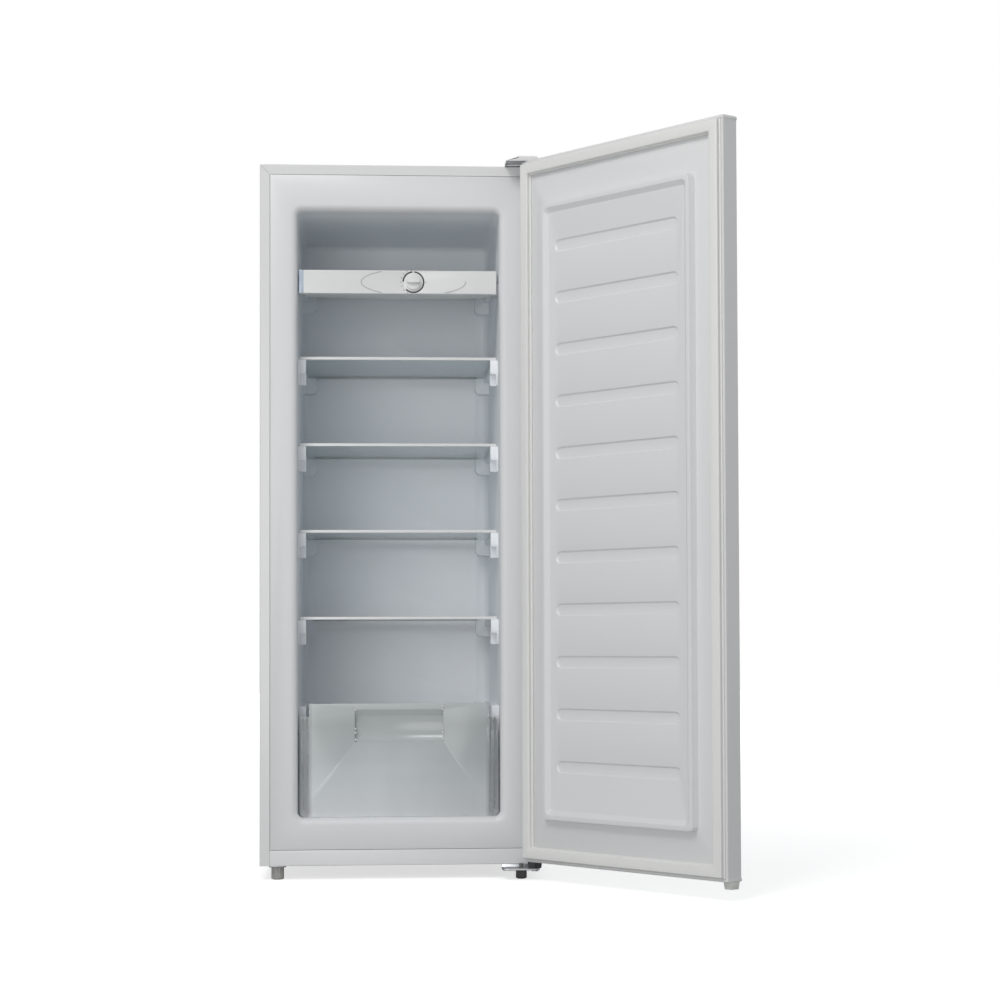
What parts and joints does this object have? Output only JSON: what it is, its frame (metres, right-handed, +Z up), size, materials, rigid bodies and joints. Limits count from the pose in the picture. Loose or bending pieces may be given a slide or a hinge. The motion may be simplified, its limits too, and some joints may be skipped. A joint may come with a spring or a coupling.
{
  "type": "upright freezer",
  "caption": "Tall white upright freezer with its door open, glass shelves on moulded ledges, a control strip and a clear bottom drawer.",
  "frame": {"origin": "on the floor under the middle of the whole object with its door open as pictured", "axes": "+X to the right of someone facing the front, +Y from the front towards the back, +Z up"},
  "size_m": [0.8894, 0.9832, 1.4473],
  "materials": {
    "black_plastic": "matte",
    "black_rubber": "matte",
    "clear_drawer": "gloss",
    "compressor_black": "satin",
    "copper_tube": "satin",
    "dark_bush": "matte",
    "foam": "matte",
    "front_rail_enamel": "satin",
    "galvanised_sheet": "satin",
    "gasket_pvc": "matte",
    "grey_plastic": "matte",
    "liner_plastic": "satin",
    "magnet_strip": "matte",
    "outer_enamel": "satin",
    "roll_bond_aluminium": "satin",
    "shelf_glass": "gloss",
    "white_nylon": "matte",
    "white_plastic": "satin",
    "zinc_steel": "satin"
  },
  "bodies": {
    "cabinet": {"back_panel": "galvanised_sheet", "base_panel": "galvanised_sheet", "bottom_front_rail": "front_rail_enamel", "bottom_hinge_bracket": "zinc_steel", "bottom_hinge_pin": "zinc_steel", "bottom_hinge_screws": "zinc_steel", "cabinet_foam": "foam", "compressor": "compressor_black", "compressor_base": "galvanised_sheet", "compressor_bolts": "zinc_steel", "compressor_grommets": "black_rubber", "condenser_tubes": "copper_tube", "control_housing": "white_plastic", "control_housing_screws": "zinc_steel", "cord_gland": "black_plastic", "evaporator_plate": "roll_bond_aluminium", "filter_drier": "copper_tube", "inner_liner": "liner_plastic", "left_foot_plate": "zinc_steel", "outer_wrap": "outer_enamel", "rear_feet": "black_plastic", "refrigerant_tubes": "copper_tube", "sensor_bulb": "roll_bond_aluminium", "shelf_1_front_trim": "white_plastic", "shelf_1_glass": "shelf_glass", "shelf_1_rear_trim": "white_plastic", "terminal_cover": "black_plastic", "thermostat": "grey_plastic", "top_hinge_bracket": "zinc_steel", "top_hinge_cover": "white_plastic", "top_hinge_pin": "zinc_steel", "top_hinge_screws": "zinc_steel"},
    "door": {"door_bottom_bush": "dark_bush", "door_bottom_cap": "white_plastic", "door_foam": "foam", "door_gasket": "gasket_pvc", "door_liner": "liner_plastic", "door_skin": "outer_enamel", "door_top_bush": "white_nylon", "door_top_cap": "white_plastic", "gasket_magnets": "magnet_strip", "handle_pocket": "white_plastic", "spare_door_bush": "white_nylon"},
    "drawer": {"drawer_bin": "clear_drawer", "drawer_front": "clear_drawer"},
    "knob": {"thermostat_knob": "white_plastic"},
    "front_left_foot": {"front_left_foot": "grey_plastic"},
    "front_right_foot": {"front_right_foot": "black_plastic"},
    "shelf_2": {"shelf_2_glass": "shelf_glass", "shelf_2_front_trim": "white_plastic", "shelf_2_rear_trim": "white_plastic"},
    "shelf_3": {"shelf_3_glass": "shelf_glass", "shelf_3_front_trim": "white_plastic", "shelf_3_rear_trim": "white_plastic"},
    "shelf_4": {"shelf_4_glass": "shelf_glass", "shelf_4_front_trim": "white_plastic", "shelf_4_rear_trim": "white_plastic"},
    "shelf_5": {"shelf_5_glass": "shelf_glass", "shelf_5_front_trim": "white_plastic", "shelf_5_rear_trim": "white_plastic"}
  },
  "joints": [
    {"name": "door_hinge", "type": "hinge", "parent": "cabinet", "child": "door", "pos_m": [0.09981, -0.04455, 0], "axis": [0, 0, 1], "range_deg": [-127.5, 17.5]},
    {"name": "thermostat_turn", "type": "hinge", "parent": "cabinet", "child": "knob", "pos_m": [-0.13769, -0.00255, 1.19525], "axis": [0, 1, 0], "range_deg": [-135, 135]},
    {"name": "drawer_slide", "type": "slide", "parent": "cabinet", "child": "drawer", "axis": [0, -1, 0], "range_m": [0, 0.19]},
    {"name": "shelf_2_slide", "type": "slide", "parent": "cabinet", "child": "shelf_2", "axis": [0, -1, 0], "range_m": [0, 0.3]},
    {"name": "shelf_3_slide", "type": "slide", "parent": "cabinet", "child": "shelf_3", "axis": [0, -1, 0], "range_m": [0, 0.3]},
    {"name": "shelf_4_slide", "type": "slide", "parent": "cabinet", "child": "shelf_4", "axis": [0, -1, 0], "range_m": [0, 0.3]},
    {"name": "shelf_5_slide", "type": "slide", "parent": "cabinet", "child": "shelf_5", "axis": [0, -1, 0], "range_m": [0, 0.3]},
    {"name": "front_left_foot_turn", "type": "hinge", "parent": "cabinet", "child": "front_left_foot", "pos_m": [-0.40969, 0.01245, 0.01], "axis": [0, 0, 1], "continuous": true},
    {"name": "front_right_foot_turn", "type": "hinge", "parent": "cabinet", "child": "front_right_foot", "pos_m": [0.07431, -0.02055, 0.01], "axis": [0, 0, 1], "continuous": true}
  ]
}
